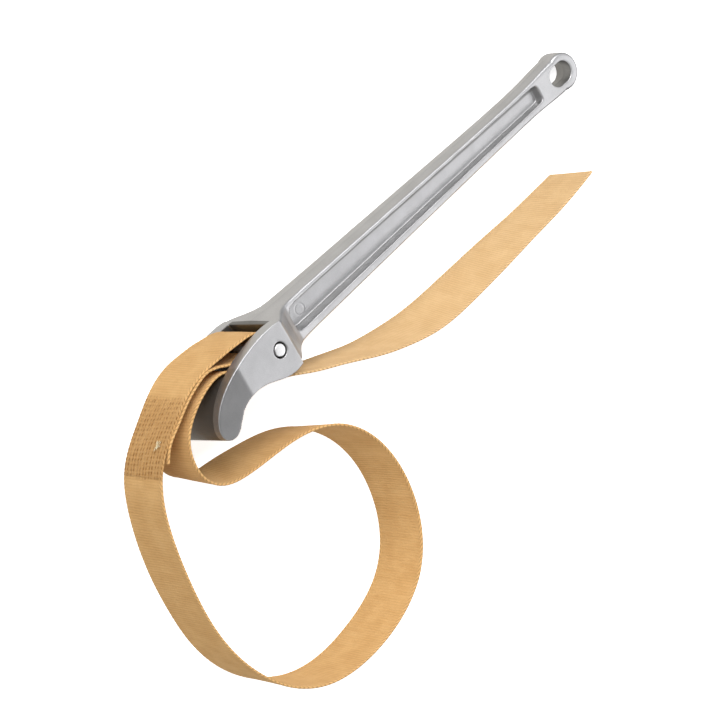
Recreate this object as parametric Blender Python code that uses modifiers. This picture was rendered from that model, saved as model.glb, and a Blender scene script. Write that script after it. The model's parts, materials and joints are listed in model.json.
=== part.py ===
"""Strap wrench: a cast aluminium handle with a forked head, a steel pin across the fork, and one
long woven strap. The strap is sewn into an eye round the pin, goes round a loop, enters the window
of the head between the pin and the toe, and leaves underneath as a free tail.

The wrench has its own axes, which the empty "wrench_axes" carries: +X along the handle, +Y towards
the back of the head, +Z along the pin. The wrench lies on one cheek and on the end of its handle, so
these axes are tipped a few degrees. The strap stands on its edge on the same surface. Lists are in
millimetres and start at the middle of the pin.
"""

import math

import bmesh
import bpy
import numpy as np
from mathutils import Vector

MM = 0.001
GAP = 0.3

# Head
HEAD_HALF_WIDTH = 34.5
WINDOW_HALF_WIDTH = 22.9
HEAD_EDGE = 2.2
TOE_FROM = -39.4
TOE_TAPER = 0.13
TOE_WEDGE_BEFORE = 10.0
TOE_WEDGE_BEYOND = 50.0
PIN_RADIUS = 5.15
PIN_CHAMFER = 0.5
PIN_MOUTH = 6.2
PIN_MOUTH_DEPTH = 0.8

# Handle
HANDLE_TO = 369.3
END_RADIUS = 15.0
END_HALF_THICKNESS = 9.2
END_EDGE = 2.6
HOLE_CENTRE = (365.1, 0.5)
HOLE_HALF_LENGTH = 11.6
HOLE_RADIUS = 7.9
HOLE_DRAFT = 1.2
WEB_HALF_THICKNESS = 3.2
POCKET_RIM = 10.0
POCKET_DRAFT = 0.8
POCKET_END_DRAFT = 3.4
SIDE_DRAFT = 1.0

# Strap
STRAP_WIDTH = 44.45
STRAP_THICKNESS = 1.75
LAP_THICKNESS = 3.8
THREAD_WIDTH = 0.9
THREAD_THICKNESS = 0.5
STITCH_ROWS = 6
STITCH_PITCH = 7.0

# The tilt that brings the end of the handle down to the surface on which the strap stands
PIN_HEIGHT = 36.35
TILT = math.asin((PIN_HEIGHT - END_HALF_THICKNESS) / (HANDLE_TO + END_RADIUS - END_EDGE))

# Outline of the head seen along the pin: (x, y, is a corner)
HEAD_OUTLINE = [
    (12.1, 18.2, True), (3.0, 19.3, False), (-9.2, 18.9, False), (-22.4, 17.1, False),
    (-36.9, 13.8, False), (-50.0, 8.7, False), (-60.4, 2.8, False), (-69.6, -4.8, False),
    (-75.4, -12.8, False), (-77.8, -21.2, False), (-75.2, -27.6, False), (-69.6, -29.9, False),
    (-63.4, -27.9, False), (-57.3, -22.3, False), (-49.6, -15.9, False), (-39.4, -12.4, False),
    (-25.6, -13.4, False), (-16.0, -16.8, False), (-6.0, -20.4, False), (4.0, -21.6, False),
    (12.1, -20.6, True),
]

# Opening through the head, between its cheeks
WINDOW_OUTLINE = [
    (7.0, 27.0, True), (7.0, 19.2, True), (8.6, 12.5, False), (10.6, 5.0, False),
    (10.9, -1.0, False), (9.2, -7.0, False), (6.0, -12.0, False), (5.0, -18.5, True),
    (5.0, -27.0, True), (-24.5, -27.0, True), (-25.5, -11.5, True), (-28.6, -7.0, False),
    (-32.6, -1.5, False), (-37.0, 4.2, False), (-41.6, 7.8, False), (-47.0, 9.0, False),
    (-53.5, 8.2, True), (-53.5, 27.0, True),
]

# Handle sections: (x, top, bottom, half thickness, corner radius)
HANDLE_SECTIONS = [
    (-4.0, 14.0, 12.0, 30.0, 4.0), (9.0, 17.9, 17.6, 34.0, 2.5), (12.3, 18.0, 18.4, 34.2, 2.5),
    (15.0, 17.9, 18.3, 32.4, 2.5), (19.0, 17.6, 18.1, 28.0, 2.5), (24.0, 17.1, 17.5, 22.4, 2.4),
    (29.0, 16.6, 17.0, 18.0, 2.3), (34.0, 16.2, 16.4, 15.6, 2.2), (40.0, 16.0, 16.1, 14.2, 2.0),
    (55.0, 15.8, 15.8, 13.2, 1.8), (100.0, 14.9, 15.2, 12.3, 1.8), (145.0, 14.1, 14.4, 11.7, 1.8),
    (190.0, 13.3, 13.7, 11.0, 1.8), (235.0, 12.3, 13.0, 10.5, 1.8), (282.0, 11.5, 12.4, 9.9, 1.8),
    (310.0, 11.3, 12.1, 9.6, 1.8), (328.0, 11.6, 12.1, 9.4, 1.8), (340.0, 12.2, 12.7, 9.2, 1.8),
    (352.0, 13.2, 13.6, 8.9, 2.0), (361.0, 13.8, 14.0, 8.6, 2.2), (368.0, 13.4, 13.5, 8.4, 2.4),
]

# Pocket in each side of the handle, from its head end round to its head end again
POCKET_OUTLINE = [
    (34.5, 6.5), (38.0, 10.4), (44.0, 11.6), (72.0, 11.4), (142.0, 10.7), (193.0, 9.9), (243.0, 9.3),
    (294.0, 8.6), (319.0, 8.4), (334.0, 8.2), (338.4, 7.6), (339.6, 5.6), (339.6, -4.2),
    (338.4, -6.1), (334.0, -6.6), (319.0, -6.7), (294.0, -6.8), (243.0, -7.2), (193.0, -7.6),
    (142.0, -8.1), (72.0, -8.7), (44.0, -9.0), (38.0, -8.2), (34.5, -5.2),
]

# Middle line of the strap from its sewn end to its free end: (x, y, z, lean in x, lean in y).
# The lean is how far the upper edge stands from above the lower edge.
ROUTE = [
    # under layer of the sewn lap, and the front of the eye
    (-118.4, -16.0, -3.0, 4.0, -3.2), (-110.6, -5.8, -1.6, 3.8, -2.8),
    (-98.4, 2.9, 0.2, 3.8, -3.0), (-81.9, 13.5, 2.0, 4.4, -3.4), (-68.4, 19.8, 3.2, 5.0, -4.0),
    (-55.8, 22.0, 3.6, 5.0, -3.4), (-50.0, 20.3, 3.4, 4.6, -2.4), (-43.7, 17.2, 3.2, 4.0, -1.0),
    (-36.4, 13.0, 2.8, 3.6, 0.0), (-29.1, 10.3, 2.3, 3.4, 0.0), (-20.8, 8.5, 1.6, 3.4, 0.0),
    (-12.9, 5.8, 1.0, 3.4, 0.0), (-7.9, 1.0, 0.6, 3.4, 0.0), (-5.0, -4.3, 0.4, 3.4, 0.0),
    (0.0, -6.6, 0.0, 3.4, 0.0), (5.0, -4.3, -0.4, 3.4, 0.0), (6.7, 1.4, -0.5, 3.4, 0.0),
    # back of the eye, crest over the window and outer layer of the lap
    (5.2, 8.4, -0.4, 3.4, 0.0), (0.8, 15.0, -0.1, 3.4, -0.6), (-7.3, 20.2, 0.5, 3.8, -1.6),
    (-18.8, 22.6, 1.4, 4.4, -3.0), (-30.2, 24.0, 2.2, 5.0, -4.2), (-43.6, 24.7, 3.0, 5.4, -4.8),
    (-57.0, 24.5, 3.2, 5.4, -4.8), (-69.0, 22.0, 2.6, 5.0, -4.0), (-82.9, 15.7, 1.4, 4.4, -3.4),
    (-99.4, 4.9, -0.6, 3.8, -3.0), (-115.9, -7.5, -2.9, 3.8, -2.8), (-129.3, -23.4, -5.4, 3.4, -4.0),
    # loop
    (-137.9, -42.3, -7.5, 3.2, -5.0), (-143.6, -62.3, -8.9, 3.8, -5.4),
    (-149.5, -98.4, -11.1, 4.8, -5.6), (-151.5, -134.4, -12.4, 4.2, -6.0),
    (-148.5, -167.4, -13.1, 5.0, -6.0), (-137.4, -198.5, -13.9, 5.2, -6.4),
    (-119.4, -223.0, -14.2, 4.4, -7.6), (-93.4, -240.5, -14.2, 5.0, -8.8),
    (-61.4, -247.0, -14.2, 6.0, -9.0), (-30.4, -244.5, -14.2, 6.9, -9.4),
    (-3.4, -237.0, -14.2, 7.1, -8.2), (20.6, -223.0, -14.2, 7.0, -6.8),
    (38.6, -200.5, -14.2, 7.0, -6.2), (48.6, -172.5, -14.2, 8.0, -6.2),
    (50.4, -142.5, -14.1, 9.4, -5.4), (43.6, -115.5, -13.9, 10.8, -3.6),
    (26.5, -91.4, -13.0, 10.0, -1.4), (-1.5, -74.9, -12.1, 7.2, -3.4),
    (-33.6, -67.6, -10.4, 6.2, -7.6), (-63.7, -63.3, -8.3, 5.4, -10.6), (-85.7, -57.2, -6.3, 4.0, -8.4),
    (-99.0, -42.6, -3.8, 5.0, -6.6), (-101.0, -26.2, -1.6, 5.2, -4.4), (-95.0, -9.4, 0.6, 5.0, -3.0),
    (-81.0, 3.2, 2.4, 4.4, -2.0), (-68.9, 9.5, 3.6, 4.0, -1.2),
    # over the lip of the toe, between the toe and the eye, and out below
    (-57.0, 12.6, 4.2, 3.6, 0.0), (-48.6, 12.8, 3.7, 3.4, 0.0), (-41.7, 10.4, 3.2, 3.4, 0.0),
    (-36.0, 5.4, 2.8, 3.4, 0.0), (-30.6, -1.4, 2.4, 3.4, 0.0), (-24.8, -8.8, 1.9, 3.4, 0.0),
    (-17.5, -15.0, 1.4, 3.4, 0.0), (-8.9, -20.3, 0.7, 3.4, 0.0), (1.0, -24.8, -0.1, 3.4, 0.0),
    # tail
    (14.0, -31.2, -1.0, 3.4, -0.8), (28.0, -38.2, -1.8, 3.6, -1.8), (47.0, -46.0, -2.6, 4.0, -3.4),
    (67.0, -54.4, -3.6, 4.0, -5.8), (88.2, -63.0, -5.3, 4.0, -8.4), (112.3, -70.0, -7.0, 4.0, -11.8),
    (140.4, -75.7, -9.1, 4.0, -14.6), (166.4, -77.2, -10.4, 4.0, -14.8),
    (190.5, -76.7, -11.4, 4.0, -14.0), (214.5, -75.8, -12.2, 4.0, -12.8),
    (238.5, -74.8, -13.2, 4.0, -10.8), (262.6, -74.0, -14.0, 4.4, -8.4),
    (286.6, -72.7, -14.1, 5.6, -6.8), (309.6, -70.5, -14.1, 7.4, -4.8),
    (327.6, -68.3, -14.1, 9.0, -2.2),
]

# Rows of ROUTE at which one stretch of the strap ends and the next begins
EYE_FROM = 5
LAP_FROM = 23
LAP_TO = 28
LOOP_TO = 54
GRIP_TO = 63
STITCH_FROM = 25
STITCH_TO = 28


# Materials

def make_material(name, colour, roughness, metallic):
    material = bpy.data.materials.new(name)
    material.use_nodes = True
    shader = material.node_tree.nodes["Principled BSDF"]
    shader.inputs["Base Color"].default_value = (*colour, 1.0)
    shader.inputs["Roughness"].default_value = roughness
    shader.inputs["Metallic"].default_value = metallic
    return material


# Mesh helpers

def clear_scene():
    for found in list(bpy.data.objects):
        bpy.data.objects.remove(found)


def make_collection(name):
    collection = bpy.data.collections.new(name)
    bpy.context.scene.collection.children.link(collection)
    return collection


def add_object(name, data, collection, parent=None, material=None):
    made = bpy.data.objects.new(name, data)
    collection.objects.link(made)
    made.parent = parent
    if material is not None:
        data.materials.append(material)
    return made


def make_cutter(obj):
    obj.hide_render = True
    obj.display_type = "WIRE"
    return obj


def mesh_from(name, work):
    bmesh.ops.recalc_face_normals(work, faces=work.faces)
    mesh = bpy.data.meshes.new(name)
    work.to_mesh(mesh)
    work.free()
    return mesh


def shade_round(mesh, degrees=35.0):
    mesh.shade_smooth()
    mesh.set_sharp_from_angle(angle=math.radians(degrees))


def loft(name, rings):
    """A closed solid through rings of points, with flat ends."""
    work = bmesh.new()
    rows = [[work.verts.new(Vector(point) * MM) for point in ring] for ring in rings]
    count = len(rows[0])
    for near, far in zip(rows, rows[1:]):
        for i in range(count):
            j = (i + 1) % count
            work.faces.new((near[i], near[j], far[j], far[i]))
    work.faces.new(rows[0])
    work.faces.new(rows[-1])
    return mesh_from(name, work)


def outline_solid(name, outline, half_width, collection):
    """The solid of a smooth flat outline, as thick as two half widths, along Z."""
    data = bpy.data.curves.new(name, "CURVE")
    data.dimensions = "2D"
    data.fill_mode = "BOTH"
    data.extrude = half_width * MM
    data.resolution_u = 4
    spline = data.splines.new("BEZIER")
    spline.bezier_points.add(len(outline) - 1)
    spline.use_cyclic_u = True
    for point, (x, y, corner) in zip(spline.bezier_points, outline):
        point.co = (x * MM, y * MM, 0.0)
        point.handle_left_type = "VECTOR" if corner else "AUTO"
        point.handle_right_type = point.handle_left_type
    flat = add_object(name + "_curve", data, collection)
    graph = bpy.context.evaluated_depsgraph_get()
    mesh = bpy.data.meshes.new_from_object(flat.evaluated_get(graph))
    bpy.data.objects.remove(flat)
    work = bmesh.new()
    work.from_mesh(mesh)
    bmesh.ops.remove_doubles(work, verts=work.verts, dist=0.00001)
    return mesh_from(name, work)


def cylinder_mesh(name, radius, half_length, sides):
    work = bmesh.new()
    bmesh.ops.create_cone(
        work, cap_ends=True, segments=sides, radius1=radius * MM, radius2=radius * MM,
        depth=2 * half_length * MM,
    )
    return mesh_from(name, work)


def bevel(obj, width, segments=2, degrees=40.0):
    modifier = obj.modifiers.new("rounded_edges", "BEVEL")
    modifier.width = width * MM
    modifier.segments = segments
    modifier.limit_method = "ANGLE"
    modifier.angle_limit = math.radians(degrees)
    return modifier


def boolean(obj, other, operation):
    modifier = obj.modifiers.new(operation.lower() + "_" + other.name, "BOOLEAN")
    modifier.operation = operation
    modifier.object = other
    return modifier


# Casting

def section_ring(x, top, bottom, half_thickness, radius, steps=4):
    """A section across the handle at x, with rounded corners and sides that slope to a mould seam."""
    corners = [
        (top - radius, half_thickness - radius, 0.0),
        (-bottom + radius, half_thickness - radius, 90.0),
        (-bottom + radius, -half_thickness + radius, 180.0),
        (top - radius, -half_thickness + radius, 270.0),
    ]
    seams = {90.0: -bottom - SIDE_DRAFT, 270.0: top + SIDE_DRAFT}
    ring = []
    for y, z, start in corners:
        for step in range(steps):
            angle = math.radians(start + 90.0 * step / (steps - 1))
            ring.append((x, y + radius * math.cos(angle), z + radius * math.sin(angle)))
        if start in seams:
            ring.append((x, seams[start], 0.0))
    return ring


def pocket_mesh(side):
    """The cutter of one side pocket. POCKET_OUTLINE is its size at the rim, and its walls lean outwards."""
    middle_y = sum(y for x, y in POCKET_OUTLINE) / len(POCKET_OUTLINE)
    middle_x = max(x for x, y in POCKET_OUTLINE) / 2
    rings = []
    for z in (WEB_HALF_THICKNESS, HEAD_HALF_WIDTH / 2):
        inward = (POCKET_RIM - z) / (POCKET_RIM - WEB_HALF_THICKNESS)
        ring = []
        for x, y in POCKET_OUTLINE:
            inward_x = POCKET_DRAFT if x < middle_x else -POCKET_END_DRAFT
            inward_y = POCKET_DRAFT if y < middle_y else -POCKET_DRAFT
            ring.append((x + inward_x * inward, y + inward_y * inward, side * z))
        rings.append(ring)
    return loft("pocket", rings)


def hole_outline(radius):
    """A slot with round ends, along X."""
    x, y = HOLE_CENTRE
    straight = HOLE_HALF_LENGTH - radius
    ring = []
    for step in range(24):
        angle = 2 * math.pi * (step + 0.5) / 24
        shift = straight if math.cos(angle) > 0 else -straight
        ring.append((x + shift + radius * math.cos(angle), y + radius * math.sin(angle)))
    return ring


def hang_hole_mesh():
    """The hole narrows to a ridge halfway through, where the two halves of the mould met."""
    depth = 2 * END_HALF_THICKNESS
    mouth = HOLE_RADIUS + HOLE_DRAFT
    levels = [(-depth, mouth), (0.0, HOLE_RADIUS), (depth, mouth)]
    return loft("hang_hole", [[(x, y, z) for x, y in hole_outline(r)] for z, r in levels])


def pin_hole_mesh():
    bore = PIN_RADIUS + GAP
    beyond = HEAD_HALF_WIDTH + 2.0
    mouth_from = HEAD_HALF_WIDTH - PIN_MOUTH_DEPTH
    mouth = PIN_MOUTH + 2.0 * (PIN_MOUTH - bore) / PIN_MOUTH_DEPTH
    levels = [(-beyond, mouth), (-mouth_from, bore), (mouth_from, bore), (beyond, mouth)]
    rings = []
    for z, radius in levels:
        turn = [2 * math.pi * step / 24 for step in range(24)]
        rings.append([(radius * math.cos(a), radius * math.sin(a), z) for a in turn])
    return loft("pin_hole", rings)


def toe_taper_mesh(side):
    """A wedge outside the toe, whose sloping face narrows the toe towards its tip."""
    start = TOE_FROM + TOE_WEDGE_BEFORE
    tip = TOE_FROM - TOE_WEDGE_BEYOND
    outside = side * (HEAD_HALF_WIDTH + TOE_WEDGE_BEFORE * TOE_TAPER)
    inside = side * (HEAD_HALF_WIDTH - TOE_WEDGE_BEYOND * TOE_TAPER)
    rings = []
    for y in (-HEAD_HALF_WIDTH, HEAD_HALF_WIDTH):
        rings.append([(start, y, outside), (tip, y, outside), (tip, y, inside)])
    return loft("toe_taper", rings)


def make_casting(parts, cutters, axes, material):
    rings = [section_ring(*section) for section in HANDLE_SECTIONS]
    casting = add_object("handle_casting", loft("handle_casting", rings), parts, axes, material)

    head = add_object(
        "head_block", outline_solid("head_block", HEAD_OUTLINE, HEAD_HALF_WIDTH, cutters),
        cutters, axes,
    )
    for side in (1, -1):
        wedge = add_object("toe_wedge", toe_taper_mesh(side), cutters, axes)
        boolean(head, make_cutter(wedge), "DIFFERENCE")
    bevel(head, HEAD_EDGE)
    boolean(casting, make_cutter(head), "UNION")

    end = add_object(
        "handle_end", cylinder_mesh("handle_end", END_RADIUS, END_HALF_THICKNESS, 40), cutters, axes
    )
    end.location = (HANDLE_TO * MM, 0.0, 0.0)
    bevel(end, END_EDGE)
    boolean(casting, make_cutter(end), "UNION")

    meshes = [
        outline_solid("window", WINDOW_OUTLINE, WINDOW_HALF_WIDTH, cutters),
        pin_hole_mesh(),
        pocket_mesh(1),
        pocket_mesh(-1),
        hang_hole_mesh(),
    ]
    for mesh in meshes:
        cutter = add_object(mesh.name + "_cutter", mesh, cutters, axes)
        boolean(casting, make_cutter(cutter), "DIFFERENCE")
    return casting


def make_pin(parts, axes, material):
    half_length = HEAD_HALF_WIDTH - 0.1
    mesh = cylinder_mesh("strap_pin", PIN_RADIUS, half_length, 32)
    shade_round(mesh)
    pin = add_object("strap_pin", mesh, parts, axes, material)
    bevel(pin, PIN_CHAMFER, segments=1)
    return pin


# Strap

def spline_through(knots, rows):
    """A function that gives the natural cubic curve through rows, each column on its own."""
    step = np.diff(knots)
    size = len(knots)
    matrix = np.eye(size)
    right = np.zeros_like(rows)
    for i in range(1, size - 1):
        matrix[i, i - 1 : i + 2] = (step[i - 1], 2 * (step[i - 1] + step[i]), step[i])
        slopes = (rows[i + 1] - rows[i]) / step[i] - (rows[i] - rows[i - 1]) / step[i - 1]
        right[i] = 6 * slopes
    bend = np.linalg.solve(matrix, right)

    def at(s):
        i = int(np.clip(np.searchsorted(knots, s) - 1, 0, size - 2))
        h = step[i]
        a = (knots[i + 1] - s) / h
        b = (s - knots[i]) / h
        curve = (a**3 - a) * bend[i] + (b**3 - b) * bend[i + 1]
        return a * rows[i] + b * rows[i + 1] + curve * h * h / 6

    return at


class Strap:
    """The route of the strap, measured by distance along it."""

    def __init__(self, route):
        rows = np.array(route)
        self.knots = np.r_[0, np.cumsum(np.linalg.norm(np.diff(rows[:, :3], axis=0), axis=1))]
        self.at = spline_through(self.knots, rows)

    def frame(self, s):
        """Middle point, direction from lower to upper edge, and direction across the thickness."""
        row = self.at(s)
        ahead = self.at(min(s + 0.5, self.knots[-1]))
        behind = self.at(max(s - 0.5, 0.0))
        along = (ahead - behind)[:3]
        height = math.sqrt(STRAP_WIDTH**2 - row[3] ** 2 - row[4] ** 2)
        rise = np.array([row[3], row[4], height]) / STRAP_WIDTH
        outward = np.cross(along, rise)
        return row[:3], rise, outward / np.linalg.norm(outward)

    def band(self, name, first, last, pieces, width=STRAP_WIDTH, thickness=STRAP_THICKNESS,
             rise_by=0.0, out_by=0.0):
        """A flat band that follows the route from one distance to another."""
        rings = []
        for s in np.linspace(first, last, pieces + 1):
            middle, rise, outward = self.frame(s)
            middle = middle + rise * rise_by + outward * out_by
            up = rise * width / 2
            out = outward * thickness / 2
            rings.append([middle - up - out, middle + up - out, middle + up + out, middle - up + out])
        return loft(name, rings)


def make_strap(parts, base, webbing, thread):
    strap = Strap(ROUTE)
    at_row = strap.knots
    half_gap = GAP / 2
    stretches = [
        ("strap_eye", at_row[EYE_FROM] + half_gap, at_row[LAP_FROM] - half_gap, 54),
        ("strap_loop", at_row[LAP_TO] + half_gap, at_row[LOOP_TO] - half_gap, 80),
        ("strap_grip", at_row[LOOP_TO] + half_gap, at_row[GRIP_TO] - half_gap, 22),
        ("strap_tail", at_row[GRIP_TO] + half_gap, at_row[-1], 30),
    ]
    for name, first, last, pieces in stretches:
        mesh = strap.band(name, first, last, pieces)
        shade_round(mesh)
        add_object(name, mesh, parts, base, webbing)

    inner_side = (LAP_THICKNESS - STRAP_THICKNESS) / 2
    lap = strap.band(
        "strap_lap", at_row[LAP_FROM] + half_gap, at_row[LAP_TO] - half_gap, 18,
        thickness=LAP_THICKNESS, out_by=-inner_side,
    )
    shade_round(lap)
    add_object("strap_lap", lap, parts, base, webbing)

    above = STRAP_THICKNESS / 2 + GAP + THREAD_THICKNESS / 2
    for row in range(STITCH_ROWS):
        rise_by = (row - (STITCH_ROWS - 1) / 2) * STITCH_PITCH
        mesh = strap.band(
            "stitch_row_%d" % (row + 1), at_row[STITCH_FROM], at_row[STITCH_TO] - 2.0, 12,
            width=THREAD_WIDTH, thickness=THREAD_THICKNESS, rise_by=rise_by, out_by=above,
        )
        add_object(mesh.name, mesh, parts, base, thread)


def stand_on_origin(base, parts):
    """Moves everything so that the bottom centre of its box is the origin."""
    bpy.context.view_layer.update()
    graph = bpy.context.evaluated_depsgraph_get()
    corners = []
    for part in parts.objects:
        if part.type != "MESH":
            continue
        solid = part.evaluated_get(graph)
        corners += [solid.matrix_world @ vertex.co for vertex in solid.data.vertices]
    low = np.min(corners, axis=0)
    high = np.max(corners, axis=0)
    base.location = (-(low[0] + high[0]) / 2, -(low[1] + high[1]) / 2, -low[2])


def main():
    clear_scene()
    parts = make_collection("strap_wrench")
    cutters = make_collection("cutters")
    base = add_object("pin_middle", None, parts)
    axes = add_object("wrench_axes", None, parts, base)
    axes.rotation_euler = (0.0, TILT, 0.0)

    aluminium = make_material("cast_aluminium", (0.57, 0.57, 0.58), 0.45, 0.9)
    steel = make_material("pin_steel", (0.75, 0.75, 0.76), 0.25, 1.0)
    webbing = make_material("tan_webbing", (0.62, 0.40, 0.17), 0.85, 0.0)
    thread = make_material("tan_thread", (0.68, 0.48, 0.26), 0.8, 0.0)

    make_casting(parts, cutters, axes, aluminium)
    make_pin(parts, axes, steel)
    make_strap(parts, base, webbing, thread)
    stand_on_origin(base, parts)


main()
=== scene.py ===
"""Strap wrench: the finished look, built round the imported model.

Lists of places on the wrench are in millimetres and start at the middle of the pin. The casting's
own axes run along the handle, towards the back of the head, and along the pin.
"""

import json
import math

import bmesh
import bpy
import numpy as np
from mathutils import Matrix, Vector


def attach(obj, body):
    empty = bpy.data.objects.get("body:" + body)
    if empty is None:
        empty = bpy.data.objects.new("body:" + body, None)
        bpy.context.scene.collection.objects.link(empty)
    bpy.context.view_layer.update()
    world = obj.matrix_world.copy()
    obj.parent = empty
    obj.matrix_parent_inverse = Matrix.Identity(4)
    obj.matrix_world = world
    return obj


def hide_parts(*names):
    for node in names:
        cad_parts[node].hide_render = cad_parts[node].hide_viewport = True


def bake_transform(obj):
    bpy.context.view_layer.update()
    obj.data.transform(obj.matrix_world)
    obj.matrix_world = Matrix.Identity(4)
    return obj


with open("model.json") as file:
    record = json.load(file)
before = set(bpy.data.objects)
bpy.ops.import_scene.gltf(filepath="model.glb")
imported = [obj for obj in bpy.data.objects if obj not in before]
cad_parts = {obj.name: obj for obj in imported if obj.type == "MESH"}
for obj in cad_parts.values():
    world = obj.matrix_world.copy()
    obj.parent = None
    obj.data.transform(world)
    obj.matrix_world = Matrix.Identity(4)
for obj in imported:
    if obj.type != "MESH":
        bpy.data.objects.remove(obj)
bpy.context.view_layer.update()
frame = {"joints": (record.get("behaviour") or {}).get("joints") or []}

MM = 0.001


def joint(name):
    return next(found for found in frame["joints"] if found["name"] == name)


PIN = Vector(joint("strap_swing")["pos_m"])
PIN_AXIS = -Vector(joint("strap_swing")["axis"]).normalized()
TILT = math.atan2(PIN_AXIS.x, PIN_AXIS.z)
WRENCH = Matrix.Translation(PIN) @ Matrix.Rotation(TILT, 4, "Y")

# Camera: where it stands as seen from the wrench, and where it looks, to the right of the pin
# and below it in the picture
VIEW_AZIMUTH = math.radians(140.69)
VIEW_ELEVATION = math.radians(55.06)
VIEW_ROLL = math.radians(93.86)
VIEW_DISTANCE = 3.726
VIEW_LENS = 250.0
AIM_RIGHT = 0.0801
AIM_UP = -0.0072

# A dark cloth beside the light: its direction, the cosines at its soft edge, and the light that
# it lets through
FLAG_TOWARDS = (0.42, -0.88, 0.2)
FLAG_EDGE = (0.86, 0.95)
FLAG_LIGHT = 0.08

# Light from the table, from far away, from the walls and from the ceiling
TABLE = (0.8, 0.77, 0.71)
HORIZON = (0.27, 0.27, 0.27)
WALLS = (0.96, 0.96, 0.965)
CEILING = (0.05, 0.05, 0.05)

# Head
HEAD_HALF_WIDTH = 34.5
WINDOW_HALF_WIDTH = 22.9
HEAD_EDGE = 2.2
TOE_FROM = -39.4
TOE_TAPER = 0.13
TOE_WEDGE_BEFORE = 10.0
TOE_WEDGE_BEYOND = 50.0
PIN_RADIUS = 5.15
PIN_BORE = 5.45
PIN_MOUTH = 6.3
PIN_MOUTH_DEPTH = 2.4

# Handle
HANDLE_TO = 369.3
END_RADIUS = 15.0
END_HALF_THICKNESS = 9.2
END_EDGE = 2.6
HOLE_CENTRE = (365.1, 0.5)
HOLE_HALF_LENGTH = 11.6
HOLE_RADIUS = 7.9
HOLE_DRAFT = 1.2
WEB_HALF_THICKNESS = 3.2
POCKET_RIM = 10.0
POCKET_DRAFT = 0.8
POCKET_END_DRAFT = 3.4
SIDE_DRAFT = 1.0
CAST_VOXEL = 0.5

# Strap
STRAP_WIDTH = 44.45
STRAP_HALF_THICKNESS = 0.72
RIB_PITCH = 2.2
RIB_HEIGHT = 0.14
SELVEDGE_WIDTH = 2.5
SELVEDGE_PITCH = 3.8
SELVEDGE_SLANT = 2.4
STITCH_DENT = 0.3
SELVEDGE_HEIGHT = 0.22
STITCH_ROWS = 6
STITCH_ROW_PITCH = 7.0
STITCH_LENGTH = 3.8
THREAD_RADIUS = 0.3
TUFT_ROW = 26.8
TUFT_ACROSS = 11.0
TUFT_FIBRES = 13
TUFT_RADIUS = 0.24
TUFT_HEIGHT = 2.2
TUFT_SPREAD = 4.4

HEAD_OUTLINE = [
    (12.1, 18.2, True), (3.0, 19.3, False), (-9.2, 18.9, False), (-22.4, 17.1, False),
    (-36.9, 13.8, False), (-50.0, 8.7, False), (-60.4, 2.8, False), (-69.6, -4.8, False),
    (-75.4, -12.8, False), (-77.8, -21.2, False), (-75.2, -27.6, False), (-69.6, -29.9, False),
    (-63.4, -27.9, False), (-57.3, -22.3, False), (-49.6, -15.9, False), (-39.4, -12.4, False),
    (-25.6, -13.4, False), (-16.0, -16.8, False), (-6.0, -20.4, False), (4.0, -21.6, False),
    (12.1, -20.6, True),
]
WINDOW_OUTLINE = [
    (7.0, 27.0, True), (7.0, 19.2, True), (8.6, 12.5, False), (10.6, 5.0, False),
    (10.9, -1.0, False), (9.2, -7.0, False), (6.0, -12.0, False), (5.0, -18.5, True),
    (5.0, -27.0, True), (-24.5, -27.0, True), (-25.5, -11.5, True), (-28.6, -7.0, False),
    (-32.6, -1.5, False), (-37.0, 4.2, False), (-41.6, 7.8, False), (-47.0, 9.0, False),
    (-53.5, 8.2, True), (-53.5, 27.0, True),
]
HANDLE_SECTIONS = [
    (-4.0, 14.0, 12.0, 30.0, 4.0), (9.0, 17.9, 17.6, 34.0, 2.5), (12.3, 18.0, 18.4, 34.2, 2.5),
    (15.0, 17.9, 18.3, 32.4, 2.5), (19.0, 17.6, 18.1, 28.0, 2.5), (24.0, 17.1, 17.5, 22.4, 2.4),
    (29.0, 16.6, 17.0, 18.0, 2.3), (34.0, 16.2, 16.4, 15.6, 2.2), (40.0, 16.0, 16.1, 14.2, 2.0),
    (55.0, 15.8, 15.8, 13.2, 1.8), (100.0, 14.9, 15.2, 12.3, 1.8), (145.0, 14.1, 14.4, 11.7, 1.8),
    (190.0, 13.3, 13.7, 11.0, 1.8), (235.0, 12.3, 13.0, 10.5, 1.8), (282.0, 11.5, 12.4, 9.9, 1.8),
    (310.0, 11.3, 12.1, 9.6, 1.8), (328.0, 11.6, 12.1, 9.4, 1.8), (340.0, 12.2, 12.7, 9.2, 1.8),
    (352.0, 13.2, 13.6, 9.15, 2.2), (361.0, 13.8, 14.0, 9.12, 2.5), (368.0, 13.4, 13.5, 9.1, 2.6),
]
POCKET_OUTLINE = [
    (34.5, 6.5), (38.0, 10.4), (44.0, 11.6), (72.0, 11.4), (142.0, 10.7), (193.0, 9.9),
    (243.0, 9.3), (294.0, 8.6), (319.0, 8.4), (334.0, 8.2),
    (338.4, 7.6), (339.6, 5.6), (339.6, -4.2),
    (338.4, -6.1), (334.0, -6.6), (319.0, -6.7), (294.0, -6.8), (243.0, -7.2), (193.0, -7.6),
    (142.0, -8.1), (72.0, -8.7), (44.0, -9.0), (38.0, -8.2), (34.5, -5.2),
]
POCKET_TOP = [point for point in POCKET_OUTLINE if point[1] > 0]
POCKET_BOTTOM = [point for point in POCKET_OUTLINE if point[1] < 0][::-1]
POCKET_START = min(x for x, y in POCKET_OUTLINE)
POCKET_END = max(x for x, y in POCKET_OUTLINE)

# Marks left by the mould: the ridge where its halves met, and the ring of an ejector pin
SEAM_HEIGHT = 0.2
SEAM_WIDTH = 0.6
SEAM_FROM = 12
EJECTOR_CENTRE = (52.0, 0.3)
EJECTOR_RADIUS = 4.4
EJECTOR_DEPTH = 0.16
EJECTOR_LINE = 0.45

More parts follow.
